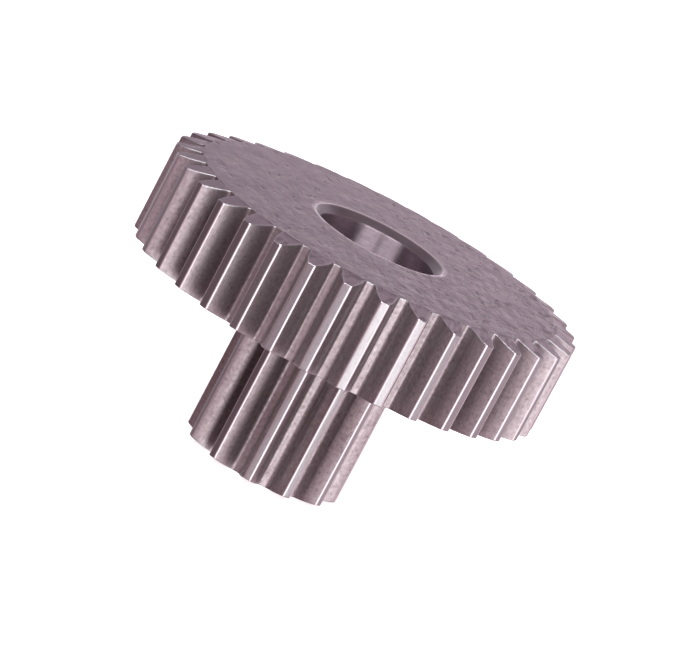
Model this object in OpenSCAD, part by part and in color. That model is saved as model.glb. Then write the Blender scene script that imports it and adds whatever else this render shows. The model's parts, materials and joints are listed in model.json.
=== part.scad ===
// Double gear: a large spur wheel and a small pinion pressed and sintered as one piece of steel.
// It stands on the pinion's free end, with the axis along Z and the wheel on top.

/* [Teeth] */
// Tooth size of both gears: pitch diameter divided by tooth count
tooth_module = 1; // [0.8:0.05:2]
// Pressure angle of the involute flanks
pressure_angle = 20; // [16:0.5:25]
// Height of a tooth above the pitch circle, in modules
addendum_factor = 1; // [0.8:0.05:1.1]
// Depth of a tooth space below the pitch circle, in modules
dedendum_factor = 1.25; // [1.1:0.05:1.4]
// Corner radius of the generating rack, which shapes the root fillets, in modules
fillet_factor = 0.15; // [0.1:0.01:0.38]
// Radius that rounds the edges of the tooth tips
tip_round = 0.2; // [0.05:0.05:0.25]
// Width of the flat band left outside the root circle, before the tooth ends start to fall
flat_margin = 0.05; // [0.05:0.05:0.5]
// Direction from the axis in which a tooth of each gear lines up, in degrees
timing_angle = 210; // [0:1:359]

/* [Wheel] */
// Number of teeth on the wheel
wheel_teeth = 35; // [24:1:60]
// Thickness of the wheel at its flat middle
wheel_w = 8.75; // [6:0.05:14]
// How far both ends of the wheel's teeth fall away from the flat middle to the tips
wheel_fall = 0.45; // [0.1:0.05:1]

/* [Pinion] */
// Number of teeth on the pinion
pinion_teeth = 12; // [11:1:20]
// Length of the pinion below the wheel
pinion_l = 13.4; // [6:0.1:24]
// How far the free ends of the pinion's teeth fall away from the flat end to the tips
pinion_fall = 0.55; // [0.1:0.05:1]

/* [Bore] */
// Diameter of the seat that opens in the wheel's face
seat_d = 10.5; // [8:0.1:14]
// Depth of the seat, its chamfer included
seat_depth = 5; // [3:0.1:5.5]
// Chamfer at the mouth of the seat
seat_chamfer = 0.65; // [0.2:0.05:1.5]
// Diameter of the hole for the shaft
shaft_d = 6; // [3:0.1:6.5]
// Chamfer at the lower mouth of the shaft hole
shaft_chamfer = 0.4; // [0.1:0.05:0.6]

/* [Hidden] */

steel = [0.55, 0.50, 0.53];
addendum = addendum_factor * tooth_module;
dedendum = dedendum_factor * tooth_module;
fillet_r = fillet_factor * tooth_module;
wheel_base_z = pinion_l;
top_z = pinion_l + wheel_w;
// Straight steps along one root fillet, one involute flank and one rounded tip edge
fillet_steps = 4;
flank_steps = 6;
tip_steps = 3;
// Cuts and joined solids pass this far beyond the faces they cross
overlap = 0.5;
$fn = 120;

function pitch_r(teeth) = teeth * tooth_module / 2;
function base_r(teeth) = pitch_r(teeth) * cos(pressure_angle);
function tip_r(teeth) = pitch_r(teeth) + addendum;
function root_r(teeth) = pitch_r(teeth) - dedendum;

// Involute of an angle, in degrees
function involute(a) = tan(a) * 180 / PI - a;

// Half the angle that a tooth spans at radius r on its involute flanks
function flank_half(teeth, r) =
    90 / teeth + involute(pressure_angle) - involute(acos(base_r(teeth) / r));

// The generating rack's corner: depth of its centre and distance from the rack tooth's middle
corner_depth = dedendum - fillet_r;
corner_x = PI * tooth_module / 4 - corner_depth * tan(pressure_angle) - fillet_r / cos(pressure_angle);

// A point of the root fillet as [radius, half angle], where the rack's corner leaves it
// along a line through the pitch point at the given slope
function fillet_point(teeth, slope) =
    let (
        centre_x = corner_depth / tan(slope),
        x = centre_x + fillet_r * cos(slope),
        y = pitch_r(teeth) - corner_depth - fillet_r * sin(slope),
        roll = (centre_x - corner_x) / pitch_r(teeth) * 180 / PI
    )
    [norm([x, y]), 180 / teeth - atan2(x, y) + roll];

// The rack's corner cuts into the flank of a gear with few teeth
function undercut(teeth) =
    corner_depth + fillet_r * sin(pressure_angle) > pitch_r(teeth) * pow(sin(pressure_angle), 2);

function is_fillet(teeth, p) =
    !undercut(teeth) || p[0] <= base_r(teeth) || p[1] < flank_half(teeth, p[0]);

// The parts of one side of a tooth from the root up, as [radius, half angle]: the root fillet,
// the involute flank and the rounded edge of the tip, whose centre lies on a parallel involute
function fillet_side(teeth) = [
    for (i = [0 : fillet_steps])
        let (p = fillet_point(teeth, 90 - (90 - pressure_angle) * i / fillet_steps))
        if (is_fillet(teeth, p)) p
];
function flank_side(teeth, from_r, to_r) = [
    for (i = [1 : flank_steps - 1])
        let (r = from_r + (to_r - from_r) * i / flank_steps)
        [r, flank_half(teeth, r)]
];
function tip_side(teeth) =
    let (
        centre_r = tip_r(teeth) - tip_round,
        centre_a = flank_half(teeth, centre_r) - tip_round / base_r(teeth) * 180 / PI,
        sweep = 90 - acos(base_r(teeth) / centre_r)
    )
    [
        for (i = [0 : tip_steps])
            let (
                turn = sweep * (1 - i / tip_steps),
                x = centre_r + tip_round * cos(turn),
                y = tip_round * sin(turn)
            )
            [norm([x, y]), centre_a + atan2(y, x)]
    ];
function tooth_side(teeth) =
    let (
        fillet = fillet_side(teeth),
        tip = tip_side(teeth),
        flank_start_r = max(base_r(teeth), fillet[len(fillet) - 1][0])
    )
    concat(fillet, flank_side(teeth, flank_start_r, tip[0][0]), tip);

function polar(r, a) = [r * cos(a), r * sin(a)];

// Section across all the teeth of a gear, with one tooth in the timing direction
module teeth_outline(teeth) {
    side = tooth_side(teeth);
    last = len(side) - 1;
    polygon([
        for (t = [0 : teeth - 1])
            for (i = [0 : 2 * last + 1])
                let (p = i <= last ? side[i] : side[2 * last + 1 - i])
                polar(p[0], timing_angle + t * 360 / teeth + (i <= last ? -p[1] : p[1]))
    ]);
}

// Turned shape that gives the teeth their ends: flat inside the root circle and falling away to the tips
module blank(teeth, low_z, high_z, low_fall, high_fall) {
    flat_r = root_r(teeth) + flat_margin;
    rim_r = tip_r(teeth) + overlap;
    reach = (rim_r - flat_r) / (tip_r(teeth) - flat_r);
    rotate_extrude()
        polygon([
            [0, low_z],
            [flat_r, low_z],
            [rim_r, low_z + low_fall * reach],
            [rim_r, high_z - high_fall * reach],
            [flat_r, high_z],
            [0, high_z]
        ]);
}

module gear(teeth, low_z, high_z, low_fall, high_fall) {
    intersection() {
        blank(teeth, low_z, high_z, low_fall, high_fall);
        translate([0, 0, low_z - overlap])
            linear_extrude(high_z - low_z + 2 * overlap)
                teeth_outline(teeth);
    }
}

module wheel() {
    gear(wheel_teeth, wheel_base_z, top_z, wheel_fall, wheel_fall);
}

// The pinion runs up into the wheel, so the two are one solid
module pinion() {
    gear(pinion_teeth, 0, wheel_base_z + overlap, pinion_fall, 0);
}

// Stepped hole along the axis: a wide chamfered seat in the wheel and a shaft hole below it
module stepped_bore() {
    shaft_r = shaft_d / 2;
    seat_r = seat_d / 2;
    floor_z = top_z - seat_depth;
    rotate_extrude()
        polygon([
            [0, -overlap],
            [shaft_r + shaft_chamfer + overlap, -overlap],
            [shaft_r, shaft_chamfer],
            [shaft_r, floor_z],
            [seat_r, floor_z],
            [seat_r, top_z - seat_chamfer],
            [seat_r + seat_chamfer + overlap, top_z + overlap],
            [0, top_z + overlap]
        ]);
}

module double_gear() {
    color(steel)
        difference() {
            union() {
                wheel();
                pinion();
            }
            stepped_bore();
        }
}

double_gear();
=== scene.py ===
# %% [markdown]
# A double gear of sintered steel: a wheel of 35 teeth and a pinion of 12, pressed from powder as one piece.
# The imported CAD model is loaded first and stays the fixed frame. It says where everything is and how big it
# is. Everything made below is drawn around the same axis, with the gear standing on the end of its pinion.

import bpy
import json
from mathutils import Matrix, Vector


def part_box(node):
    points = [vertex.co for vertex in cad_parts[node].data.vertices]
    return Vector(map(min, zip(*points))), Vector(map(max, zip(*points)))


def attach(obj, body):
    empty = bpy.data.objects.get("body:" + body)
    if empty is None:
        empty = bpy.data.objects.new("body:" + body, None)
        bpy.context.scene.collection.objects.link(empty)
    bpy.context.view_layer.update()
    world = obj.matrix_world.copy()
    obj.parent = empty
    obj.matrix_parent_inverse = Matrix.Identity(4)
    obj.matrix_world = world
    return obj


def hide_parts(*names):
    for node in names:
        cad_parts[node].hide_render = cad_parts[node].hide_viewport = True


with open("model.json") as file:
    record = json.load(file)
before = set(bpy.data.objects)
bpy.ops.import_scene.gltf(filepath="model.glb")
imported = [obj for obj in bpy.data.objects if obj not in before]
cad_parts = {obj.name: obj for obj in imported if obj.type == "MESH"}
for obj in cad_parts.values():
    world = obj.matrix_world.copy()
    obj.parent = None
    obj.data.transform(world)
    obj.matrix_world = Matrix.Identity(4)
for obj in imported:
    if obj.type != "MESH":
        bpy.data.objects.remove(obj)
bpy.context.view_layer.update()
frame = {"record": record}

# %% [markdown]
# These are the sizes of the real gear, in millimetres. Blender works in metres here, so one factor turns
# one into the other. The height and the radii of the two bores come from the frame. It doesn't say the
# others, so they are repeated from the CAD source. The two small radii at the end are too fine for that
# source: pressed parts are tumbled with stones after the furnace, and that takes the sharpness off every
# outer edge.

# %% Sizes
import json
import math

import bmesh
import bpy
from mathutils import Matrix, Vector

MM = 0.001
MODULE = 1.0
PRESSURE = math.radians(20)
ADDENDUM, DEDENDUM, RACK_ROUND, TIP_ROUND = 1.0, 1.25, 0.15, 0.2
FLAT_MARGIN = 0.05
TIMING = math.radians(210)
WHEEL_TEETH, WHEEL_FALL = 35, 0.45
PINION_TEETH, PINION_LENGTH, PINION_FALL = 12, 13.4, 0.55
SEAT_DEPTH, SEAT_CHAMFER, SHAFT_CHAMFER = 5.0, 0.65, 0.4
bores = {mount["name"]: mount["dims"] for mount in frame["record"]["mounts"] if mount["kind"] == "bore"}
SEAT_R, SHAFT_R = bores["bearing_seat"]["r_mm"], bores["shaft_hole"]["r_mm"]
TOP = round(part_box("double_gear")[1].z / MM, 3)
EDGE_ROUND = 0.07
JOIN_ROUND = 0.1
print("from the frame, in mm: height", TOP, "seat radius", SEAT_R, "shaft hole radius", SHAFT_R)

# %% [markdown]
# One side of a tooth is an involute, the curve that the end of a taut string draws as it unwinds from a
# circle. Below it, the corner of the cutting rack leaves a small fillet, and on a gear with few teeth it
# also eats into the flank. Modelling teeth by eye would miss both, so the curve is worked out point by
# point from the cutting rule.

# %% One side of a tooth
def involute(angle):
    return math.tan(angle) - angle


class ToothCurve:
    """The curve of one side of a tooth, as points of radius and half angle, in millimetres and radians."""

    def __init__(self, teeth):
        self.teeth = teeth
        self.pitch_r = teeth * MODULE / 2
        self.base_r = self.pitch_r * math.cos(PRESSURE)
        self.tip_r = self.pitch_r + ADDENDUM
        self.root_r = self.pitch_r - DEDENDUM
        self.flat_r = self.root_r + FLAT_MARGIN
        self.depth = DEDENDUM - RACK_ROUND
        self.corner_x = (math.pi * MODULE / 4 - self.depth * math.tan(PRESSURE)
                         - RACK_ROUND / math.cos(PRESSURE))

    def flank_half(self, r):
        unwound = math.acos(self.base_r / r)
        return math.pi / 2 / self.teeth + involute(PRESSURE) - involute(unwound)

    def fillet(self, slope, inset=0.0):
        centre_x = self.depth / math.tan(slope)
        x = centre_x + (RACK_ROUND + inset) * math.cos(slope)
        y = self.pitch_r - self.depth - (RACK_ROUND + inset) * math.sin(slope)
        roll = (centre_x - self.corner_x) / self.pitch_r
        return math.hypot(x, y), math.pi / self.teeth - math.atan2(x, y) + roll

    def tip(self, share):
        centre_r = self.tip_r - TIP_ROUND
        centre_a = self.flank_half(centre_r) - TIP_ROUND / self.base_r
        turn = (math.pi / 2 - math.acos(self.base_r / centre_r)) * (1 - share)
        x, y = centre_r + TIP_ROUND * math.cos(turn), TIP_ROUND * math.sin(turn)
        return math.hypot(x, y), centre_a + math.atan2(y, x)


def halving(is_past, low, high, rounds=60):
    """The place between low and high where is_past turns true."""
    for _ in range(rounds):
        middle = (low + high) / 2
        low, high = (low, middle) if is_past(middle) else (middle, high)
    return high


wheel_curve, pinion_curve = ToothCurve(WHEEL_TEETH), ToothCurve(PINION_TEETH)
for curve in (wheel_curve, pinion_curve):
    print(curve.teeth, "teeth: root", curve.root_r, "base", round(curve.base_r, 3), "tip", curve.tip_r, "mm")

# %% [markdown]
# The outline of one pitch runs from the middle of one tooth space over the tooth to the middle of the next.
# One point is put exactly where the flat face will end and the tooth's end starts to fall away, so that the
# crease is clean. Each point also says how worn it is, from 0 to 1: the flanks not at all, the lands on top
# of the teeth a little, because the die wall irons them, and the rounded tip edges fully. The same number
# paints the tip edges pale, partly as wear and partly as a painted highlight.

# %% Outline of one pitch
def steps(start, end, count):
    return [start + (end - start) * i / count for i in range(count + 1)]


def polar(r, angle):
    return Vector((r * math.cos(angle), r * math.sin(angle)))


LAND_WEAR = 0.3
BESIDE_CREASE = 0.04


def pitch_outline(curve, root_steps, fillet_steps, flank_steps, tip_steps, land_steps):
    """Points over one tooth that lies along X, their wear and painted sheen, and the numbers of the crease
    and tip points.
    """
    def slope_at(r):
        return halving(lambda s: curve.fillet(s, EDGE_ROUND)[0] < r, PRESSURE, math.pi / 2)

    def meets_flank(slope):
        r, half = curve.fillet(slope)
        return r <= curve.base_r or half < curve.flank_half(r)

    undercut = curve.depth + RACK_ROUND * math.sin(PRESSURE) > curve.pitch_r * math.sin(PRESSURE) ** 2
    crease, beside = slope_at(curve.flat_r), slope_at(curve.flat_r + BESIDE_CREASE)
    lowest = halving(meets_flank, PRESSURE, beside) if undercut else PRESSURE
    before, after = fillet_steps
    side = [curve.fillet(s) for s in steps(math.pi / 2, crease, before)]
    side += [curve.fillet(s) for s in steps(beside, lowest, after)]
    start_r, end_r = side[-1][0], curve.tip(0)[0]
    side += [(r, curve.flank_half(r)) for r in steps(start_r, end_r, flank_steps)[1:-1]]
    side += [curve.tip(share) for share in steps(0, 1, tip_steps)]
    space_half = math.pi / curve.teeth
    root = [(curve.root_r, a) for a in steps(space_half, side[0][1], root_steps)[:-1]]
    land = [(curve.tip_r, a) for a in steps(-side[-1][1], side[-1][1], land_steps)[1:-1]]
    left = [polar(r, -half) for r, half in root + side]
    right = [polar(r, half) for r, half in reversed(root + side)]
    tip = root_steps + len(side) - 1
    # The tip edges get full wear, which also paints them pale as a painted highlight.
    worn = [1.0 if tip - tip_steps < i < tip else 0.0 for i in range(tip)] + [LAND_WEAR]
    worn = worn + [LAND_WEAR] * len(land) + worn[::-1]
    return left + [polar(r, a) for r, a in land] + right, worn, root_steps + before, tip


ROOT_STEPS, LAND_STEPS = 2, 8
wheel_outline, wheel_wear_and_sheen, wheel_crease, wheel_tip = pitch_outline(
    wheel_curve, ROOT_STEPS, fillet_steps=(6, 4), flank_steps=8, tip_steps=5, land_steps=LAND_STEPS)
pinion_outline, pinion_wear_and_sheen, pinion_crease, pinion_tip = pitch_outline(
    pinion_curve, ROOT_STEPS, fillet_steps=(6, 6), flank_steps=10, tip_steps=5, land_steps=LAND_STEPS)
print("outline points per pitch: wheel", len(wheel_outline), "pinion", len(pinion_outline))

# %% [markdown]
# A rounded edge is made by moving the outline inwards while it rises to the face, step by step along a
# quarter circle. Every point knows its own direction out of the steel, so the same function also makes the
# hollow corner where the pinion runs into the wheel: there the outline moves outwards instead.

# %% Rounded rims
def outward(points):
    """The direction out of the steel at each outline point. Both ends lie on the root circle."""
    def normal(a, b):
        along = (b - a).normalized()
        return Vector((along.y, -along.x))
    inner = [(normal(a, b) + normal(b, c)).normalized() for a, b, c in zip(points, points[1:], points[2:])]
    return [points[0].normalized()] + inner + [points[-1].normalized()]


def moved(points, inset):
    return [p - n * inset for p, n in zip(points, outward(points))]


RIM_STEPS = 4


def rim(radius):
    """Inset and drop of each ring, from the side wall to the face."""
    turns = steps(0, math.pi / 2, RIM_STEPS)
    return [(radius * (1 - math.cos(t)), abs(radius) * (1 - math.sin(t))) for t in turns]


print("rim rings, inset and drop in mm:", [(round(i, 3), round(d, 3)) for i, d in rim(EDGE_ROUND)])

# %% [markdown]
# Meshes are sewn from rows of points, like patchwork. Beside its place, a point of a tooth carries three
# numbers: its level from the low end of the gear to the high end, how far it sits below the finished end, and
# how much wear has polished it, which also paints worn edges pale as a painted highlight. Geometry Nodes
# turns the first two into a height further down. A face carries its finish.

# %% Patchwork of rows
FLANK, FACE, BORE, CHAMFER = 0, 1, 2, 3


class Patchwork:
    """Collects points, with extra numbers for each, and faces with the number of their finish."""

    def __init__(self, *numbers):
        self.numbers = numbers
        self.points, self.faces, self.finishes = [], [], []

    def add_rows(self, rows, finish):
        start = len(self.points)
        width = len(rows[0])
        for row in rows:
            self.points.extend(row)
        for i in range(len(rows) - 1):
            for j in range(width - 1):
                a = start + i * width + j
                self.add_face((a, a + 1, a + width + 1, a + width), finish)

    def add_face(self, corners, finish):
        self.faces.append(corners)
        self.finishes.append(finish)

    def mesh(self, name):
        made = bpy.data.meshes.new(name)
        made.from_pydata([p[:3] for p in self.points], [], self.faces)
        for i, number in enumerate(self.numbers):
            layer = made.attributes.new(number, "FLOAT", "POINT")
            layer.data.foreach_set("value", [p[3 + i] for p in self.points])
        pressed = [finish == FACE for finish in self.finishes]
        made.attributes.new("pressed", "BOOLEAN", "FACE").data.foreach_set("value", pressed)
        return made


def tooth_row(points, level, drop, worn=None):
    worn = worn or [0.0] * len(points)
    return [(p.x * MM, p.y * MM, 0.0, level, drop * MM, w) for p, w in zip(points, worn)]


print("each point of a tooth carries: level, drop, worn")

# %% [markdown]
# One pitch has a side wall with a rounded rim at each end, and the end of its tooth. Rows that lie close
# beside a rim keep its smooth shading from creeping over the long straight faces. The rims themselves are
# as worn as the lands, so that every edge shows as a thin light line.

# %% Walls and tooth ends of one pitch
KEEP = 0.12
RIM_WEAR = LAND_WEAR
WALL_STEPS = 4
ACROSS = [0, 0.1, 0.22, 0.36, 0.5, 0.64, 0.78, 0.9, 1]


def add_wall(sheet, outline, worn, low_rim, high_rim):
    """The side of one pitch. A rim of negative radius is a hollow corner, and nothing rubs that."""
    rubbed = [max(w, RIM_WEAR) for w in worn]
    high_wear_and_sheen = rubbed if high_rim > 0 else worn
    held = EDGE_ROUND + KEEP
    rows = [tooth_row(moved(outline, i), 0, d, rubbed) for i, d in reversed(rim(low_rim))]
    rows += [tooth_row(outline, level, held, worn) for level in steps(0, 1, WALL_STEPS)]
    rows += [tooth_row(moved(outline, i), 1, d, high_wear_and_sheen) for i, d in rim(high_rim)]
    sheet.add_rows(rows, FLANK)


def across_tooth(point):
    """A line across the tooth, at the radius of one point of its side."""
    r, half = point.length, -math.atan2(point.y, point.x)
    return [polar(r, half * (2 * t - 1)) for t in ACROSS]


def add_tooth_end(sheet, outline, crease, tip, level):
    """Rows across the tooth at one radius each, from the crease out to the tip."""
    edge = moved(outline, EDGE_ROUND)
    rows = [across_tooth(point) for point in edge[crease:tip]]
    rows.append(edge[tip:len(edge) - tip])
    sheet.add_rows([tooth_row(line, level, 0) for line in rows], FACE)


print("columns across a tooth end:", len(ACROSS))

# %% [markdown]
# The flat of a pitch is a wedge of the gear's face. Its border needs many points to follow the tooth, but
# the ring at its inner end needs few. So the points are thinned out between two rings, which keeps the mesh
# light where nothing bends.

# %% Flats of one pitch
FLAT_RINGS = 0.6, 1.2
FLAT_STEPS = 3


def flat_border(outline, crease):
    """The border of the flat face over one pitch: root, crease across the tooth, root."""
    edge = moved(outline, EDGE_ROUND)
    return edge[:crease] + across_tooth(edge[crease]) + edge[len(edge) - crease:]


def drawn_in(points):
    return [p * (1 - KEEP / p.length) for p in points]


def ring_arc(curve, r, count):
    half = math.pi / curve.teeth
    return [polar(r, a) for a in steps(-half, half, count)]


def add_flat(sheet, curve, outline, crease, level, inner_r, inner_count):
    """A wedge of the flat face. Between its two rings, faces with many corners lead to fewer points."""
    border = flat_border(outline, crease)
    fine_r, coarse_r = (curve.root_r - inset for inset in FLAT_RINGS)
    ring = ring_arc(curve, fine_r, len(border) - 1)
    rows = [tooth_row(line, level, 0) for line in (border, drawn_in(border), ring)]
    sheet.add_rows(rows, FACE)
    ratio = (len(border) - 1) // inner_count
    start = len(sheet.points)
    sheet.points.extend(rows[-1] + tooth_row(ring_arc(curve, coarse_r, inner_count), level, 0))
    for j in range(inner_count):
        outer = [start + j * ratio + k for k in range(ratio + 1)]
        inner = start + len(border) + j
        sheet.add_face((*outer, inner + 1, inner), FACE)
    radii = steps(coarse_r, inner_r, FLAT_STEPS)
    sheet.add_rows([tooth_row(ring_arc(curve, r, inner_count), level, 0) for r in radii], FACE)


print("points along the border of one flat:", len(flat_border(wheel_outline, wheel_crease)))

# %% [markdown]
# Now one pitch of the wheel is sewn, with a tooth end and a flat on both sides. The upper flat stops short
# of the hole's mouth, and the lower one at a ring outside the pinion. The rest is filled later, by shapes
# that don't repeat with the wheel's teeth.

# %% One pitch of the wheel
MOUTH_MARGIN, UNDERSIDE_MARGIN = 0.6, 1.2
EDGE_R = SEAT_R + SEAT_CHAMFER
MOUTH_R = EDGE_R + MOUTH_MARGIN
UNDERSIDE_R = pinion_curve.tip_r + UNDERSIDE_MARGIN
WHEEL_COUNT = 12

wheel_pitch = Patchwork("level", "drop", "worn")
add_wall(wheel_pitch, wheel_outline, wheel_wear_and_sheen, EDGE_ROUND, EDGE_ROUND)
for level, inner_r in ((0, UNDERSIDE_R), (1, MOUTH_R)):
    add_tooth_end(wheel_pitch, wheel_outline, wheel_crease, wheel_tip, level)
    add_flat(wheel_pitch, wheel_curve, wheel_outline, wheel_crease, level, inner_r, WHEEL_COUNT)
print("faces in one pitch of the wheel:", len(wheel_pitch.faces))

# %% [markdown]
# The pinion's free end is sewn like the wheel's ends. Its upper end runs into the wheel with a small hollow
# corner, because cracks would start from a sharp one.

# %% One pitch of the pinion
END_MARGIN = 0.25
END_R = SHAFT_R + SHAFT_CHAMFER + END_MARGIN
PINION_COUNT = 24

pinion_pitch = Patchwork("level", "drop", "worn")
add_wall(pinion_pitch, pinion_outline, pinion_wear_and_sheen, EDGE_ROUND, -JOIN_ROUND)
add_tooth_end(pinion_pitch, pinion_outline, pinion_crease, pinion_tip, 0)
border = flat_border(pinion_outline, pinion_crease)
end_rows = [border, drawn_in(border), ring_arc(pinion_curve, END_R, PINION_COUNT)]
pinion_pitch.add_rows([tooth_row(line, 0, 0) for line in end_rows], FACE)
print("faces in the pinion's side and free end:", len(pinion_pitch.faces))

# %% [markdown]
# Between the pinion's teeth the wheel's underside shows. Rows from one tooth to the next fill it, from the
# root out to the tips. One face with that many corners would be quicker to write, but would shade badly.

# %% The wheel's underside between two teeth of the pinion
PINION_PITCH = 2 * math.pi / PINION_TEETH
joined = moved(pinion_outline, -JOIN_ROUND)
next_tooth = Matrix.Rotation(PINION_PITCH, 2)
space_rows = []
for i in range(ROOT_STEPS, pinion_tip + 1):
    r, half = joined[i].length, -math.atan2(joined[i].y, joined[i].x)
    ends = half, PINION_PITCH - half
    line = [polar(r, ends[0] + (ends[1] - ends[0]) * t) for t in steps(0, 1, 2 * ROOT_STEPS)]
    if i == ROOT_STEPS:
        line = joined[len(joined) - 1 - ROOT_STEPS:] + [next_tooth @ p for p in joined[1:ROOT_STEPS + 1]]
    space_rows.append(tooth_row(line, 1, 0))
pinion_pitch.add_rows(space_rows, FACE)
tip_ring = joined[pinion_tip:len(joined) - pinion_tip] + [Vector(p[:2]) / MM for p in space_rows[-1][1:]]
print("faces in the whole pitch of the pinion:", len(pinion_pitch.faces))

# %% [markdown]
# Geometry Nodes repeat a pitch round the axis, and the steels are node trees too. All of them are built in
# code, so that every setting can be read. One helper adds a node and sets or links its inputs.

# %% A helper that adds a node
def add_node(tree, kind, inputs=None, **settings):
    """Adds a node with its settings. An input that is a socket is linked, any other is set."""
    made = tree.nodes.new(kind)
    for name, value in settings.items():
        setattr(made, name, value)
    for key, value in (inputs or {}).items():
        if isinstance(value, bpy.types.NodeSocket):
            tree.links.new(value, made.inputs[key])
        else:
            made.inputs[key].default_value = value
    return made


print("helper for all node trees:", add_node.__name__)

# %% [markdown]
# The ends of the real teeth fall away to the tips, where the press leaves them thinner. So the tree first
# gives each point its height, flat inside the root circle and falling outside it. The height is mixed from
# the gear's low and high end by the point's level, so one tree serves both gears.

# %% The part of the tree that gives a tooth its heights
def tooth_heights(tree, given):
    """The pitch with each point at its height. Given are the sockets of the tree's inputs."""
    place = add_node(tree, "GeometryNodeInputPosition").outputs[0]
    apart = add_node(tree, "ShaderNodeSeparateXYZ", {0: place}).outputs
    radius = add_node(tree, "ShaderNodeVectorMath", {0: place}, operation="LENGTH").outputs["Value"]
    level, drop = (add_node(tree, "GeometryNodeInputNamedAttribute", {
        "Name": name}, data_type="FLOAT").outputs[0] for name in ("level", "drop"))
    fall = add_node(tree, "ShaderNodeMapRange", {
        "Value": radius, "From Min": given["Flat radius"], "From Max": given["Tip radius"]}).outputs[0]
    below_high = add_node(tree, "ShaderNodeMath", {
        0: given["High fall"], 1: fall, 2: drop}, operation="MULTIPLY_ADD").outputs[0]
    above_low = add_node(tree, "ShaderNodeMath", {
        0: given["Low fall"], 1: fall, 2: drop}, operation="MULTIPLY_ADD").outputs[0]
    high = add_node(tree, "ShaderNodeMath", {
        0: given["High end"], 1: below_high}, operation="SUBTRACT").outputs[0]
    low = add_node(tree, "ShaderNodeMath", {0: given["Low end"], 1: above_low}, operation="ADD").outputs[0]
    height = add_node(tree, "ShaderNodeMix", {0: level, 2: low, 3: high}, data_type="FLOAT").outputs[0]
    where = add_node(tree, "ShaderNodeCombineXYZ", {0: apart[0], 1: apart[1], 2: height}).outputs[0]
    return add_node(tree, "GeometryNodeSetPosition", {
        "Geometry": given["Pitch"], "Position": where}).outputs[0]


SIZE_INPUTS = ("Timing", "Low end", "High end", "Low fall", "High fall", "Flat radius", "Tip radius", "Weld")
print("sizes that the tree takes:", SIZE_INPUTS)

# %% [markdown]
# Then the tree sets one copy of the pitch for each tooth, welds the copies and gives the pressed faces
# their own steel. An Array modifier could copy them too, but here the number of teeth, the sizes and the
# steels are inputs with names.

# %% The tree that repeats a tooth round the axis
def teeth_tree():
    tree = bpy.data.node_groups.new("teeth_round_axis", "GeometryNodeTree")
    kinds = {"Pitch": "Geometry", "Teeth": "Int", **{name: "Float" for name in SIZE_INPUTS},
             "Flank steel": "Material", "Face steel": "Material"}
    for name, kind in kinds.items():
        tree.interface.new_socket(name=name, in_out="INPUT", socket_type="NodeSocket" + kind)
    tree.interface.new_socket(name="Gear", in_out="OUTPUT", socket_type="NodeSocketGeometry")
    given = add_node(tree, "NodeGroupInput").outputs
    shaped = tooth_heights(tree, given)
    spots = add_node(tree, "GeometryNodePoints", {"Count": given["Teeth"]}).outputs[0]
    index = add_node(tree, "GeometryNodeInputIndex").outputs[0]
    pitch = add_node(tree, "ShaderNodeMath", {
        0: 2 * math.pi, 1: given["Teeth"]}, operation="DIVIDE").outputs[0]
    angle = add_node(tree, "ShaderNodeMath", {
        0: index, 1: pitch, 2: given["Timing"]}, operation="MULTIPLY_ADD").outputs[0]
    facing = add_node(tree, "ShaderNodeCombineXYZ", {2: angle}).outputs[0]
    copies = add_node(tree, "GeometryNodeInstanceOnPoints", {
        "Points": spots, "Instance": shaped, "Rotation": facing}).outputs[0]
    real = add_node(tree, "GeometryNodeRealizeInstances", {"Geometry": copies}).outputs[0]
    welded = add_node(tree, "GeometryNodeMergeByDistance", {
        "Geometry": real, "Distance": given["Weld"]}).outputs[0]
    pressed = add_node(tree, "GeometryNodeInputNamedAttribute", {
        "Name": "pressed"}, data_type="BOOLEAN").outputs[0]
    flanks = add_node(tree, "GeometryNodeSetMaterial", {
        "Geometry": welded, "Material": given["Flank steel"]}).outputs[0]
    faces = add_node(tree, "GeometryNodeSetMaterial", {
        "Geometry": flanks, "Selection": pressed, "Material": given["Face steel"]}).outputs[0]
    add_node(tree, "NodeGroupOutput", {0: faces})
    return tree


teeth_round_axis = teeth_tree()
print("nodes in the tree:", len(teeth_round_axis.nodes))

# %% [markdown]
# Colours are given as they look on a screen, in sRGB hex. Blender's shaders want linear light, so one
# function turns them. Pattern sizes are given in millimetres and turned into a texture scale by another.

# %% Colour and scale helpers
def linear(hex_code):
    parts = [int(hex_code[i:i + 2], 16) / 255 for i in (1, 3, 5)]
    return (*[c / 12.92 if c <= 0.04045 else ((c + 0.055) / 1.055) ** 2.4 for c in parts], 1.0)


def per_size(size_mm):
    return 1 / (size_mm * MM)


print("mid grey, linear:", [round(c, 3) for c in linear("#808080")])

# %% [markdown]
# All the steels here are metals that start and end alike. They start with Object coordinates, so that a
# pattern keeps its size all over the gear, and end with colour, roughness and a bump. Two functions hold
# what they share.

# %% How every steel starts and ends
def new_steel(name):
    """A metal, its tree and its shader, and the coordinates and the wear with painted sheen to build its
    pattern on.
    """
    steel = bpy.data.materials.new(name)
    steel.use_nodes = True
    tree = steel.node_tree
    tree.nodes.clear()
    shader = add_node(tree, "ShaderNodeBsdfPrincipled", {"Metallic": 1.0})
    add_node(tree, "ShaderNodeOutputMaterial", {"Surface": shader.outputs[0]})
    place = add_node(tree, "ShaderNodeTexCoord").outputs["Object"]
    worn = add_node(tree, "ShaderNodeAttribute", attribute_name="worn").outputs["Fac"]
    return steel, tree, shader, place, worn


def finish_steel(steel, shader, tone, rough, height, relief_mm):
    """Links the colour and the roughness, and the height as a bump."""
    tree = steel.node_tree
    bump = add_node(tree, "ShaderNodeBump", {"Height": height, "Distance": relief_mm * MM}).outputs[0]
    for socket, value in (("Base Color", tone), ("Roughness", rough), ("Normal", bump)):
        tree.links.new(value, shader.inputs[socket])
    print(steel.name, "nodes:", len(tree.nodes))


print("shared by all steels:", new_steel.__name__, finish_steel.__name__)

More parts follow.
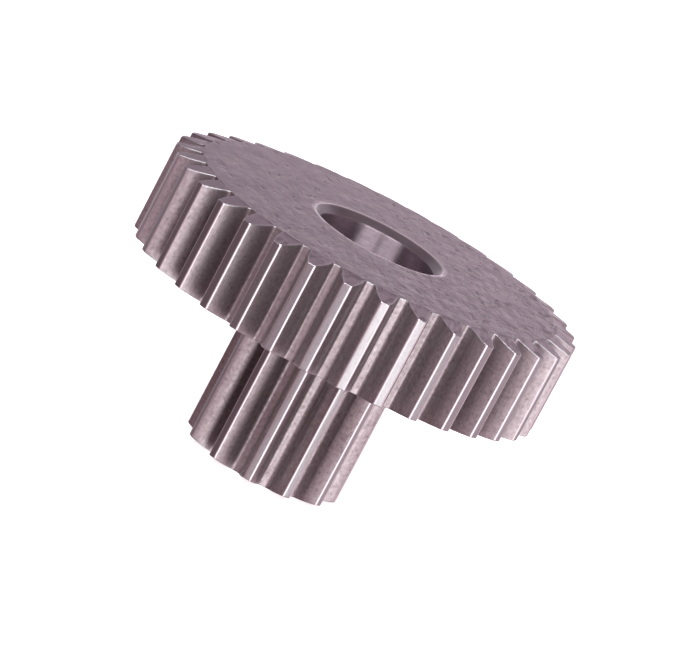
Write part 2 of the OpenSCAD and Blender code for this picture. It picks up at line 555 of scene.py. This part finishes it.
# %% [markdown]
# The flanks and the lands are sintered steel that was pushed out of the die. On the flanks the grain of the
# powder still shows, so to the eye they are matt and speckled, with dark pores and faint streaks along the
# axis. Noise draws both, stretched along the axis for the streaks. Grain and streaks are drawn about three
# times as coarse as they are, or they wouldn't show.

# %% Flank steel, its pattern
STREAK_MM, STREAK_STRETCH, FLANK_GRAIN_MM = 0.22, 20, 0.3
flank_steel, tree, shader, place, worn = new_steel("die_burnished_sintered_steel")
along = add_node(tree, "ShaderNodeMapping", {"Vector": place, "Scale": (1, 1, 1 / STREAK_STRETCH)}).outputs[0]
streaks = add_node(tree, "ShaderNodeTexNoise", {
    "Vector": along, "Scale": per_size(STREAK_MM), "Detail": 3.0, "Roughness": 0.6}).outputs[0]
grain = add_node(tree, "ShaderNodeTexNoise", {
    "Vector": place, "Scale": per_size(FLANK_GRAIN_MM), "Detail": 2.0, "Roughness": 0.6}).outputs[0]
pores = add_node(tree, "ShaderNodeMapRange", {"Value": grain, "From Min": 0.66, "From Max": 0.8}).outputs[0]
bright = add_node(tree, "ShaderNodeMix", {0: 0.35, 2: grain, 3: streaks}, data_type="FLOAT").outputs[0]
bright = add_node(tree, "ShaderNodeMapRange", {"Value": bright, "From Min": 0.7, "From Max": 0.3}).outputs[0]
print(flank_steel.name, "streaks", STREAK_MM, "mm, grain", FLANK_GRAIN_MM, "mm")

# %% [markdown]
# The die wall ironed the lands, which are smoother and greyer. The tip edges are pale, partly from wear and
# partly as a painted highlight. Three materials would leave hard borders, so the wear and sheen that each
# point carries mixes the three looks in one.

# %% Flank steel, its colour, roughness and relief
FLANK_RELIEF_MM = 0.008
tone = add_node(tree, "ShaderNodeMix", {
    0: bright, 6: linear("#867F81"), 7: linear("#AEA8AA")}, data_type="RGBA").outputs[2]
smooth = add_node(tree, "ShaderNodeMapRange", {
    "Value": worn, "From Max": LAND_WEAR, "To Max": 0.7}).outputs[0]
polish_and_sheen = add_node(tree, "ShaderNodeMapRange", {"Value": worn, "From Min": LAND_WEAR}).outputs[0]
# Painted highlight, in part: full wear paints the tip edges pale, so that they show as thin light lines.
for amount, colour in ((pores, "#73696C"), (smooth, "#969A9B"), (polish_and_sheen, "#CFCBCD")):
    tone = add_node(tree, "ShaderNodeMix", {
        0: amount, 6: tone, 7: linear(colour)}, data_type="RGBA").outputs[2]
matt = add_node(tree, "ShaderNodeMapRange", {"Value": bright, "To Min": 0.5, "To Max": 0.4}).outputs[0]
ironed = add_node(tree, "ShaderNodeMapRange", {
    "Value": worn, "From Max": LAND_WEAR, "To Min": 1.0, "To Max": 0.7}).outputs[0]
rough = add_node(tree, "ShaderNodeMath", {0: matt, 1: ironed}, operation="MULTIPLY").outputs[0]
finish_steel(flank_steel, shader, tone, rough, bright, FLANK_RELIEF_MM)

# %% [markdown]
# The faces were pressed flat by the punches and left as they came from the furnace. To the eye that is dull
# rosy steel, a little mottled and lumpy, with dark pits where powder broke away. All of it is noise: one
# pattern for the mottle, one for the lumps and one, cut off at a level, for the pits. Lumps and pits grow
# stronger towards one side, as on the real part. Only the coarser pits are drawn: the finest wouldn't show.

# %% Face steel, its mottle, lumps and pits
MOTTLE_MM, LUMP_MM, PIT_MM, PIT_SEED = 2.4, 0.8, 0.8, 3.0
CALM, ROUGH = 0.4, 1.2
ROUGH_SIDE, ROUGH_REACH_MM = (0.9, -0.44, 0), 14
face_steel, tree, shader, place, worn = new_steel("as_sintered_steel_face")
mottle = add_node(tree, "ShaderNodeTexNoise", {
    "Vector": place, "Scale": per_size(MOTTLE_MM), "Detail": 6.0, "Roughness": 0.7}).outputs[0]
long_lumps = add_node(tree, "ShaderNodeMapping", {"Vector": place, "Scale": (1, 0.4, 1)}).outputs[0]
lumps = add_node(tree, "ShaderNodeTexNoise", {
    "Vector": long_lumps, "Scale": per_size(LUMP_MM), "Detail": 2.0, "Roughness": 0.5}).outputs[0]
long_pits = add_node(tree, "ShaderNodeMapping", {"Vector": place, "Scale": (1, 0.6, 1)}).outputs[0]
flakes = add_node(tree, "ShaderNodeTexNoise", {
    "Vector": long_pits, "W": PIT_SEED, "Scale": per_size(PIT_MM), "Detail": 2.0, "Roughness": 0.5,
    "Distortion": 0.3}, noise_dimensions="4D").outputs[0]
side = add_node(tree, "ShaderNodeVectorMath", {
    0: place, 1: ROUGH_SIDE}, operation="DOT_PRODUCT").outputs["Value"]
rubbed = add_node(tree, "ShaderNodeMapRange", {
    "Value": side, "From Min": -ROUGH_REACH_MM * MM, "From Max": ROUGH_REACH_MM * MM,
    "To Min": CALM, "To Max": ROUGH}).outputs[0]
edge = add_node(tree, "ShaderNodeMapRange", {
    "Value": rubbed, "From Min": CALM, "From Max": ROUGH, "To Min": 0.59, "To Max": 0.51}).outputs[0]
full = add_node(tree, "ShaderNodeMath", {0: edge, 1: 0.16}, operation="ADD").outputs[0]
pits = add_node(tree, "ShaderNodeMapRange", {
    "Value": flakes, "From Min": edge, "From Max": full}, interpolation_type="SMOOTHSTEP").outputs[0]
print(face_steel.name, "mottle", MOTTLE_MM, "mm, lumps", LUMP_MM, "mm, pits", PIT_MM, "mm")

# %% [markdown]
# A broken dark line is painted at the foot of the teeth, where the flat face meets the falling tooth ends:
# painted shade along that crease. A painted image could hold it, but the line follows a circle, so the
# distance from that circle draws it and the mottle breaks it up.

# %% Face steel, the painted shade line at the foot of the teeth
SHADE_LINE_CORE_MM, SHADE_LINE_FADE_MM = 0.06, 0.22
apart = add_node(tree, "ShaderNodeSeparateXYZ", {0: place}).outputs
flat = add_node(tree, "ShaderNodeCombineXYZ", {0: apart[0], 1: apart[1]}).outputs[0]
radius = add_node(tree, "ShaderNodeVectorMath", {0: flat}, operation="LENGTH").outputs["Value"]
off = add_node(tree, "ShaderNodeMath", {
    0: radius, 1: wheel_curve.flat_r * MM}, operation="SUBTRACT").outputs[0]
off = add_node(tree, "ShaderNodeMath", {0: off}, operation="ABSOLUTE").outputs[0]
# Painted shade: a dark line along the crease at the foot of the teeth.
crease_shade = add_node(tree, "ShaderNodeMapRange", {
    "Value": off, "From Min": SHADE_LINE_FADE_MM * MM, "From Max": SHADE_LINE_CORE_MM * MM},
    interpolation_type="SMOOTHSTEP").outputs[0]
broken = add_node(tree, "ShaderNodeMapRange", {
    "Value": mottle, "From Min": 0.58, "From Max": 0.42}).outputs[0]
crease_shade = add_node(tree, "ShaderNodeMath", {0: crease_shade, 1: broken}, operation="MULTIPLY").outputs[0]
pits_and_crease_shade = add_node(tree, "ShaderNodeMath", {0: pits, 1: crease_shade}, operation="MAXIMUM").outputs[0]
print("line at radius", wheel_curve.flat_r, "mm")

# %% [markdown]
# The patterns now become colour, roughness and relief. One side of the face is painted a little paler, as
# painted light that falls off across the face. Pits are darker and sunk, and the crease line is painted
# shade, darker and sunk too. Where the face is worn it is pale and smooth, and round the mouth that paleness
# is partly a painted highlight.

# %% Face steel, its colour, roughness and relief
PAINTED_LIGHT_SIDE, PAINTED_LIGHT_REACH_MM = (0.5, 0.85, 0), 16
PIT_DEPTH, LUMP_HEIGHT, FACE_RELIEF_MM = -1.1, 4.2, 0.05
# Painted light: one side of the face is made paler, standing in for the light falling off across it.
across = add_node(tree, "ShaderNodeVectorMath", {
    0: place, 1: PAINTED_LIGHT_SIDE}, operation="DOT_PRODUCT").outputs["Value"]
painted_light = add_node(tree, "ShaderNodeMapRange", {
    "Value": across, "From Min": -PAINTED_LIGHT_REACH_MM * MM, "From Max": PAINTED_LIGHT_REACH_MM * MM,
    "To Min": -0.4, "To Max": 0.4}).outputs[0]
spread = add_node(tree, "ShaderNodeMapRange", {"Value": mottle, "From Min": 0.3, "From Max": 0.7}).outputs[0]
bright = add_node(tree, "ShaderNodeMath", {0: spread, 1: painted_light}, operation="ADD").outputs[0]
tone = add_node(tree, "ShaderNodeMix", {
    0: bright, 6: linear("#7E747C"), 7: linear("#988E94")}, data_type="RGBA").outputs[2]
# The pits are darker, and the crease line in the same mask is painted shade.
# Where the face is worn, round the mouths of the hole, it is painted pale, partly as a painted highlight.
for amount, colour in ((pits_and_crease_shade, "#6B6167"), (worn, "#C6BEC4")):
    tone = add_node(tree, "ShaderNodeMix", {
        0: amount, 6: tone, 7: linear(colour)}, data_type="RGBA").outputs[2]
rough = add_node(tree, "ShaderNodeMapRange", {"Value": lumps, "To Min": 0.3, "To Max": 0.46}).outputs[0]
ironed = add_node(tree, "ShaderNodeMapRange", {"Value": worn, "To Min": 1.0, "To Max": 0.4}).outputs[0]
rough = add_node(tree, "ShaderNodeMath", {0: rough, 1: ironed}, operation="MULTIPLY").outputs[0]
waves = add_node(tree, "ShaderNodeMath", {0: lumps, 1: rubbed}, operation="MULTIPLY").outputs[0]
depth = add_node(tree, "ShaderNodeMath", {0: pits_and_crease_shade, 1: PIT_DEPTH}, operation="MULTIPLY").outputs[0]
relief = add_node(tree, "ShaderNodeMath", {
    0: waves, 1: LUMP_HEIGHT, 2: depth}, operation="MULTIPLY_ADD").outputs[0]
finish_steel(face_steel, shader, tone, rough, relief, FACE_RELIEF_MM)

# %% [markdown]
# The seat is reamed to size after the furnace, so that the bearing fits it. The reamer leaves fine grooves
# round the axis, and such grooves smear a reflection along the axis: a light in front becomes an upright
# band on the wall. So this metal is anisotropic, with its tangent running round the axis. The grooves are
# drawn coarser than they are.

# %% Bore steel
GROOVE_MM, BORE_GRAIN_MM, GROOVE_RELIEF_MM = 0.12, 0.4, 0.001
bore_steel, tree, shader, place, worn = new_steel("reamed_bore_steel")
around = add_node(tree, "ShaderNodeMapping", {"Vector": place, "Scale": (0.08, 0.08, 1)}).outputs[0]
grooves = add_node(tree, "ShaderNodeTexNoise", {
    "Vector": around, "Scale": per_size(GROOVE_MM), "Detail": 3.0, "Roughness": 0.6}).outputs[0]
grain = add_node(tree, "ShaderNodeTexNoise", {
    "Vector": place, "Scale": per_size(BORE_GRAIN_MM), "Detail": 4.0, "Roughness": 0.65}).outputs[0]
bright = add_node(tree, "ShaderNodeMath", {0: grooves, 1: grain}, operation="MULTIPLY").outputs[0]
bright = add_node(tree, "ShaderNodeMapRange", {"Value": bright, "From Min": 0.12, "From Max": 0.4}).outputs[0]
tone = add_node(tree, "ShaderNodeMix", {
    0: bright, 6: linear("#8E858C"), 7: linear("#A69DA4")}, data_type="RGBA").outputs[2]
# Worn edges of the seat are painted pale, partly as a painted highlight.
tone = add_node(tree, "ShaderNodeMix", {
    0: worn, 6: tone, 7: linear("#D8D0D6")}, data_type="RGBA").outputs[2]
rough = add_node(tree, "ShaderNodeMapRange", {"Value": grain, "To Min": 0.38, "To Max": 0.46}).outputs[0]
round_axis = add_node(tree, "ShaderNodeTangent", direction_type="RADIAL", axis="Z").outputs[0]
tree.links.new(round_axis, shader.inputs["Tangent"])
shader.inputs["Anisotropic"].default_value = 1.0
shader.inputs["Anisotropic Rotation"].default_value = 0.25
finish_steel(bore_steel, shader, tone, rough, grooves, GROOVE_RELIEF_MM)

# %% [markdown]
# Both mouths of the hole have a chamfer, turned with a pointed tool after the furnace. To the eye it is the
# darkest and cleanest steel of the gear, smooth with faint rings round the axis, and pale only where its edge
# is worn, a paleness that is partly a painted highlight. So this metal has no pits, and its only pattern is
# noise drawn out round the axis. The rings are drawn coarser than they are.

# %% Chamfer steel
RING_MM, RING_RELIEF_MM = 0.15, 0.002
chamfer_steel, tree, shader, place, worn = new_steel("turned_chamfer_steel")
around = add_node(tree, "ShaderNodeMapping", {"Vector": place, "Scale": (0.1, 0.1, 1)}).outputs[0]
rings = add_node(tree, "ShaderNodeTexNoise", {
    "Vector": around, "Scale": per_size(RING_MM), "Detail": 2.0, "Roughness": 0.6}).outputs[0]
tone = add_node(tree, "ShaderNodeMix", {
    0: rings, 6: linear("#7B777B"), 7: linear("#918D91")}, data_type="RGBA").outputs[2]
# The worn edge is painted pale, partly as a painted highlight.
tone = add_node(tree, "ShaderNodeMix", {
    0: worn, 6: tone, 7: linear("#CFCBCD")}, data_type="RGBA").outputs[2]
rough = add_node(tree, "ShaderNodeMapRange", {"Value": rings, "To Min": 0.3, "To Max": 0.36}).outputs[0]
finish_steel(chamfer_steel, shader, tone, rough, rings, RING_RELIEF_MM)

# %% [markdown]
# Here the tree does its work, once for the wheel and once for the pinion. The inputs are set by the
# sockets' own identifiers before Blender looks at the object for the first time, and the result is kept as
# a plain mesh.

# %% The two rings of teeth
TOOTH_WELD = 0.0004


def ring_of_teeth(name, patch, curve, sizes):
    holder = bpy.data.objects.new(name, patch.mesh(name))
    bpy.context.scene.collection.objects.link(holder)
    repeat = holder.modifiers.new("teeth", "NODES")
    repeat.node_group = teeth_round_axis
    values = {
        "Teeth": curve.teeth, "Timing": TIMING, "Weld": TOOTH_WELD * MM,
        "Flat radius": curve.flat_r * MM, "Tip radius": curve.tip_r * MM,
        "Flank steel": flank_steel, "Face steel": face_steel,
        **{size: value * MM for size, value in sizes.items()},
    }
    for socket in teeth_round_axis.interface.items_tree:
        if socket.name in values:
            repeat[socket.identifier] = values[socket.name]
    made = bpy.data.meshes.new_from_object(holder.evaluated_get(bpy.context.evaluated_depsgraph_get()))
    holder.modifiers.remove(repeat)
    bpy.data.objects.remove(holder)
    print(name, "points:", len(made.vertices), "faces:", len(made.polygons))
    return made


wheel_teeth = ring_of_teeth("wheel_teeth", wheel_pitch, wheel_curve, {
    "Low end": PINION_LENGTH, "High end": TOP, "Low fall": WHEEL_FALL, "High fall": WHEEL_FALL})
pinion_teeth = ring_of_teeth("pinion_teeth", pinion_pitch, pinion_curve, {
    "Low end": 0, "High end": PINION_LENGTH, "Low fall": PINION_FALL, "High fall": 0})

# %% [markdown]
# The stepped hole is a turned shape, so it is drawn as a line of radius and height and swept round the axis.
# Corners of the line are replaced by small arcs, because sharp corners would catch no light. Each stretch of
# the line has the finish it has on the part, and its wear, which also paints worn edges pale as a painted
# highlight.

# %% A line with rounded corners
def rounded_line(corners):
    """Points as radius, height, wear with painted sheen, and finish. A corner is its radius, height, rounding
    and wear with sheen, and then the wear with sheen and the finish of the stretch that follows it."""
    line = []
    for i, (r, z, radius, worn, after, finish) in enumerate(corners):
        here = Vector((r, z))
        if not radius:
            line.append((r, z, worn, finish))
            continue
        back = (Vector(corners[i - 1][:2]) - here).normalized()
        on = (Vector(corners[i + 1][:2]) - here).normalized()
        half = back.angle(on) / 2
        centre = here + (back + on).normalized() * (radius / math.sin(half))
        start, end = (here + d * (radius / math.tan(half)) - centre for d in (back, on))
        line.append((*(centre + start + back * KEEP), *corners[i - 1][4:]))
        for t in steps(0, 1, RIM_STEPS):
            line.append((*(centre + start.slerp(end, t) * radius), worn, finish))
        line.append((*(centre + end + on * KEEP), after, finish))
    return line


print("points on each rounded corner:", RIM_STEPS + 1)

# %% [markdown]
# A Spin or a Screw modifier could sweep the line, but rows of points keep its wear, its painted sheen and its
# finishes. Where a ring of the seat faces one of the shaft hole, which has fewer points, triangles close the
# gap like a zip.

# %% Sweeping a line and filling between two rings
def add_turned(sheet, line, count):
    angles = steps(TIMING, TIMING + 2 * math.pi, count)

    def ring(r, z, worn):
        return [(r * math.cos(a) * MM, r * math.sin(a) * MM, z * MM, worn) for a in angles]
    rows = [ring(r, z, worn) for r, z, worn, _ in line]
    for i, (*_, finish) in enumerate(line[:-1]):
        sheet.add_rows(rows[i:i + 2], finish)


def add_zip(sheet, outer, inner, z, finish):
    """Triangles between two rings that have different numbers of points, all at one height."""
    def ordered(ring):
        turned = sorted(((math.atan2(y, x) - TIMING) % (2 * math.pi), x, y) for x, y in ring)
        return turned + [(turned[0][0] + 2 * math.pi, *turned[0][1:])]
    outer, inner = ordered(outer), ordered(inner)
    start = len(sheet.points)
    inner_start = start + len(outer)
    sheet.points.extend((x * MM, y * MM, z * MM, 0.0) for _, x, y in outer + inner)
    last_outer, last_inner = len(outer) - 1, len(inner) - 1
    i = j = 0
    while i < last_outer or j < last_inner:
        take_outer = j == last_inner or (i < last_outer and outer[i + 1][0] <= inner[j + 1][0])
        third = start + i + 1 if take_outer else inner_start + j + 1
        sheet.add_face((start + i, third, inner_start + j), finish)
        i, j = (i + 1, j) if take_outer else (i, j + 1)


def circle(r, count):
    return [tuple(polar(r, a)) for a in steps(TIMING, TIMING + 2 * math.pi, count)[:-1]]


SEAT_COUNT, SHAFT_COUNT = WHEEL_TEETH * WHEEL_COUNT, PINION_TEETH * PINION_COUNT
print("points round the seat and round the shaft hole:", SEAT_COUNT, SHAFT_COUNT)

# %% [markdown]
# Outside the chamfer the face rolls in by a few hundredths of a millimetre, and that band is the thin light
# ring round the mouth of the real part. It is part of the line, because a real slope catches the light as a
# painted ring can't; its wear values also paint it pale, partly as wear and partly as a painted highlight.
# What is open between the pinion and the wheel's underside is closed here too.

# %% The stepped hole and the underside
SHELF_Z = TOP - SEAT_DEPTH
SHELF_MARGIN = 0.6
ROLL_START, ROLL_SHOULDER, ROLL_END = EDGE_R + 0.46, EDGE_R + 0.38, EDGE_R + 0.03
SHOULDER_DROP, ROLL_DROP = 0.004, 0.036
hole = Patchwork("worn")
# Each corner: radius, height, rounding, wear with sheen, and the wear with sheen and the finish of the
# stretch that follows
add_turned(hole, rounded_line([
    (MOUTH_R, TOP, 0, 0, 0, FACE),
    (ROLL_START, TOP, 0, 0, 0, FACE),
    (ROLL_SHOULDER, TOP - SHOULDER_DROP, 0, 0.2, 0.6, FACE),
    (ROLL_END, TOP - ROLL_DROP, 0.12, 0.8, 0, CHAMFER),
    (SEAT_R, TOP - SEAT_CHAMFER, 0.06, 0.15, 0, BORE),
    (SEAT_R, SHELF_Z, 0.2, 0, 0, BORE),
    (SEAT_R - SHELF_MARGIN, SHELF_Z, 0, 0, 0, BORE)]), SEAT_COUNT)
add_turned(hole, rounded_line([
    (SHAFT_R + SHELF_MARGIN, SHELF_Z, 0, 0, 0, BORE),
    (SHAFT_R, SHELF_Z, 0.1, 0.5, 0, BORE),
    (SHAFT_R, SHAFT_CHAMFER, 0.05, 0, 0, CHAMFER),
    (SHAFT_R + SHAFT_CHAMFER, 0, 0.08, 0.8, 0, FACE),
    (END_R, 0, 0, 0, 0, FACE)]), SHAFT_COUNT)
shelf_outer = circle(SEAT_R - SHELF_MARGIN, SEAT_COUNT)
shelf_inner = circle(SHAFT_R + SHELF_MARGIN, SHAFT_COUNT)
add_zip(hole, shelf_outer, shelf_inner, SHELF_Z, BORE)
underside = Patchwork("worn")
pinion_ring = [tuple(Matrix.Rotation(TIMING + PINION_PITCH * k, 2) @ p)
               for k in range(PINION_TEETH) for p in tip_ring[:-1]]
add_zip(underside, circle(UNDERSIDE_R, SEAT_COUNT), pinion_ring, PINION_LENGTH, FACE)
print("faces in the hole:", len(hole.faces), "and in the underside:", len(underside.faces))

# %% [markdown]
# Each face of the hole and of the underside gets the steel of its finish. The steels are in one list, where
# the number of a finish is the place of its steel.

# %% Steels for the hole and the underside
STEELS = [flank_steel, face_steel, bore_steel, chamfer_steel]


def finished_mesh(sheet, name):
    made = sheet.mesh(name)
    for steel in STEELS:
        made.materials.append(steel)
    made.polygons.foreach_set("material_index", sheet.finishes)
    return made


hole_mesh, underside_mesh = finished_mesh(hole, "stepped_hole"), finished_mesh(underside, "underside")
print("steels:", [steel.name for steel in STEELS])

# %% [markdown]
# The real gear is one piece of steel, so its patches are welded into one closed skin. The script prints what
# shows the weld: the number of edges that lack exactly two faces, which is none in a closed skin, and the
# volume.

# %% Weld everything into one piece
SKIN_WELD = 0.0006


def weld(name, meshes):
    skin = bmesh.new()
    for mesh in meshes:
        places = [STEELS.index(steel or flank_steel) for steel in mesh.materials]
        first = len(skin.faces)
        skin.from_mesh(mesh)
        skin.faces.ensure_lookup_table()
        for face in skin.faces[first:]:
            face.material_index = places[face.material_index]
    bmesh.ops.remove_doubles(skin, verts=skin.verts, dist=SKIN_WELD * MM)
    bmesh.ops.recalc_face_normals(skin, faces=skin.faces)
    for face in skin.faces:
        face.smooth = True
    open_edges = sum(not e.is_manifold for e in skin.edges)
    volume = skin.calc_volume(signed=True) / MM ** 3
    made = bpy.data.meshes.new(name)
    skin.to_mesh(made)
    skin.free()
    for steel in STEELS:
        made.materials.append(steel)
    piece = bpy.data.objects.new(name, made)
    bpy.context.scene.collection.objects.link(piece)
    made.calc_loop_triangles()
    triangles = len(made.loop_triangles)
    print(name, "triangles:", triangles, "open edges:", open_edges, "volume mm3:", round(volume, 1))
    return piece


gear = weld("sintered_double_gear", [wheel_teeth, pinion_teeth, hole_mesh, underside_mesh])
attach(gear, "root")
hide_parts("double_gear")

# %% [markdown]
# The floor is a plain white table top that glows a little, like a light table, so the part stands on clean
# white with only a breath of shadow. It is left out of reflections and doesn't block light: the upright
# flanks mirror what lies just below the horizon, and there they should see the studio and not a white
# board.

# %% Floor
FLOOR_HALF, FLOOR_CELLS = 3.0, 4
grid = bmesh.new()
bmesh.ops.create_grid(grid, x_segments=FLOOR_CELLS, y_segments=FLOOR_CELLS, size=FLOOR_HALF)
floor_mesh = bpy.data.meshes.new("floor")
grid.to_mesh(floor_mesh)
grid.free()
floor = bpy.data.objects.new("floor", floor_mesh)
bpy.context.scene.collection.objects.link(floor)
white_board = bpy.data.materials.new("white_table_top")
white_board.use_nodes = True
board_shader = white_board.node_tree.nodes["Principled BSDF"]
for socket, value in (("Base Color", linear("#F4F4F4")), ("Roughness", 0.9), ("Specular IOR Level", 0.0),
                      ("Emission Strength", 0.8)):
    board_shader.inputs[socket].default_value = value
floor.data.materials.append(white_board)
floor.visible_glossy = False
floor.visible_shadow = False
print("floor:", round(floor.dimensions.x, 1), "m wide")

# %% [markdown]
# The studio has a pale backdrop behind the part, bright near the horizon, and a dim rosy room behind the
# camera. Both are soft gradients by height, and the sky mixes them by direction. A picture of a real room
# could light the part too, but a gradient can be set for what the steel has to mirror.

# %% Light by direction
CAMERA_TURN = 3.28
ROOM_TINT, BACKDROP_TINT = (1, 0.64, 0.73), (1, 0.85, 0.95)
BACKDROP = [(-1.0, 0.3), (-0.45, 0.55), (-0.15, 0.8), (0.0, 1.55), (0.06, 1.75), (0.12, 1.25),
            (0.233, 0.33), (0.4, 0.72), (0.6, 0.7), (1.0, 0.4)]
ROOM = [(-1.0, 1.0), (-0.6, 0.6), (-0.4, 0.3), (-0.15, 0.22), (0.0, 0.42), (0.35, 0.28), (1.0, 0.22)]
studio = bpy.data.worlds.new("studio")
bpy.context.scene.world = studio
studio.use_nodes = True
tree = studio.node_tree
tree.nodes.clear()
direction = add_node(tree, "ShaderNodeTexCoord").outputs["Generated"]
height = add_node(tree, "ShaderNodeSeparateXYZ", {0: direction}).outputs[2]
share = add_node(tree, "ShaderNodeMapRange", {"Value": height, "From Min": -1.0}).outputs[0]


def light_by_height(levels, tint):
    """A gradient of light. Levels are pairs of the sine of the height and the light there."""
    ramp = add_node(tree, "ShaderNodeValToRGB", {0: share})
    stops = ramp.color_ramp.elements
    while len(stops) < len(levels):
        stops.new(0.5)
    for stop, (z, light) in zip(stops, levels):
        stop.position = (z + 1) / 2
        stop.color = (*(light * c for c in tint), 1)
    return ramp.outputs[0]


turn = math.radians(CAMERA_TURN)
ahead = add_node(tree, "ShaderNodeVectorMath", {
    0: direction, 1: (-math.sin(turn), math.cos(turn), 0)}, operation="DOT_PRODUCT").outputs["Value"]
behind = add_node(tree, "ShaderNodeMapRange", {
    "Value": ahead, "From Min": 0.3, "From Max": 0.9}, interpolation_type="SMOOTHSTEP").outputs[0]
sky = add_node(tree, "ShaderNodeMix", {
    0: behind, 6: light_by_height(ROOM, ROOM_TINT), 7: light_by_height(BACKDROP, BACKDROP_TINT)},
    data_type="RGBA").outputs[2]
sky = add_node(tree, "ShaderNodeBackground", {"Color": sky}).outputs[0]
add_node(tree, "ShaderNodeOutputWorld", {"Surface": sky})
print("steps of light in the room and on the backdrop:", len(ROOM), len(BACKDROP))

# %% [markdown]
# Polished steel shows mostly what it mirrors, so each soft box is there for one part of the gear: the key
# and its spread for the flanks and lands in front, the two front boxes for the upright bands in the seat,
# the others for the face from above and for the right-hand side.

# %% Soft boxes
BOX_DISTANCE, BOX_AIM = 0.6, Vector((0, 0, 0.015))


def soft_box(name, right_of_camera, height, width, tall, radiance, tint, distance=BOX_DISTANCE):
    """A lamp that looks at the gear. Its place is in degrees, its size and distance are in metres."""
    lamp = bpy.data.lights.new(name, "AREA")
    lamp.color = tint
    lamp.shape, lamp.size, lamp.size_y = "RECTANGLE", width, tall
    lamp.energy = radiance * math.pi * width * tall
    box = bpy.data.objects.new(name, lamp)
    a, e = math.radians(CAMERA_TURN + right_of_camera), math.radians(height)
    towards = Vector((math.sin(a) * math.cos(e), -math.cos(a) * math.cos(e), math.sin(e)))
    box.location = BOX_AIM + towards * distance
    box.rotation_euler = towards.to_track_quat("Z", "Y").to_euler()
    box.visible_camera = False
    bpy.context.scene.collection.objects.link(box)


WHITE, ROSY_WHITE, PALE_ROSE, ROSE = (1, 1, 1), (1, 0.93, 0.98), (1, 0.84, 0.93), (1, 0.78, 0.86)
# Each box: name, degrees right of the camera and up, width, height, strength and tint
soft_box("key_box", 28, -11, 0.49, 0.48, 2.35, WHITE)
soft_box("key_spread", 6, -8, 1.0, 0.5, 0.66, ROSE, distance=0.62)
soft_box("right_front_box", 21.5, 41, 0.33, 0.2, 13.4, ROSY_WHITE)
soft_box("left_front_box", -25, 41, 0.33, 0.2, 12.6, ROSY_WHITE)
soft_box("top_box", 180, 60, 0.6, 0.4, 0.8, PALE_ROSE)
soft_box("right_fill_box", 90, -10, 0.95, 0.6, 0.8, ROSE)
soft_box("far_right_box", 158, 28, 0.2, 0.16, 0.9, PALE_ROSE)

# %% [markdown]
# The camera stands where the photographer's stood: 13.5 degrees above the face of the wheel, far away with
# a long lens, and tilted, so the upright gear leans in the picture. Its place was worked out from the edges
# in the picture, in millimetres along the picture's own directions from a point on the axis near the top of
# the wheel.

# %% Camera
PICTURE_WIDTH, FOCAL_PIXELS = 680, 4455.5
SENSOR_WIDTH = 36.0
HEIGHT_ANGLE, TILT = math.radians(13.493), math.radians(27.974)
SHIFT_RIGHT, SHIFT_UP, DISTANCE, AIM_Z = -3.096, -6.946, 367.17, 21.70
camera_data = bpy.data.cameras.new("camera")
camera_data.sensor_width = SENSOR_WIDTH
camera_data.lens = FOCAL_PIXELS * SENSOR_WIDTH / PICTURE_WIDTH
camera = bpy.data.objects.new("camera", camera_data)
bpy.context.scene.collection.objects.link(camera)
bpy.context.scene.camera = camera
flat_back = Vector((math.sin(turn), -math.cos(turn), 0))
back = flat_back * math.cos(HEIGHT_ANGLE) + Vector((0, 0, math.sin(HEIGHT_ANGLE)))
right = Vector((math.cos(turn), math.sin(turn), 0))
up = back.cross(right)
right, up = (right * math.cos(TILT) + up * math.sin(TILT), up * math.cos(TILT) - right * math.sin(TILT))
place = (right * SHIFT_RIGHT + up * SHIFT_UP + back * DISTANCE + Vector((0, 0, AIM_Z))) * MM
axes = Matrix((right, up, back)).transposed().to_4x4()
camera.matrix_world = Matrix.Translation(place) @ axes
bpy.context.scene.view_settings.view_transform = "Standard"
print("camera at", [round(c, 3) for c in place], "lens", round(camera_data.lens, 1), "mm")
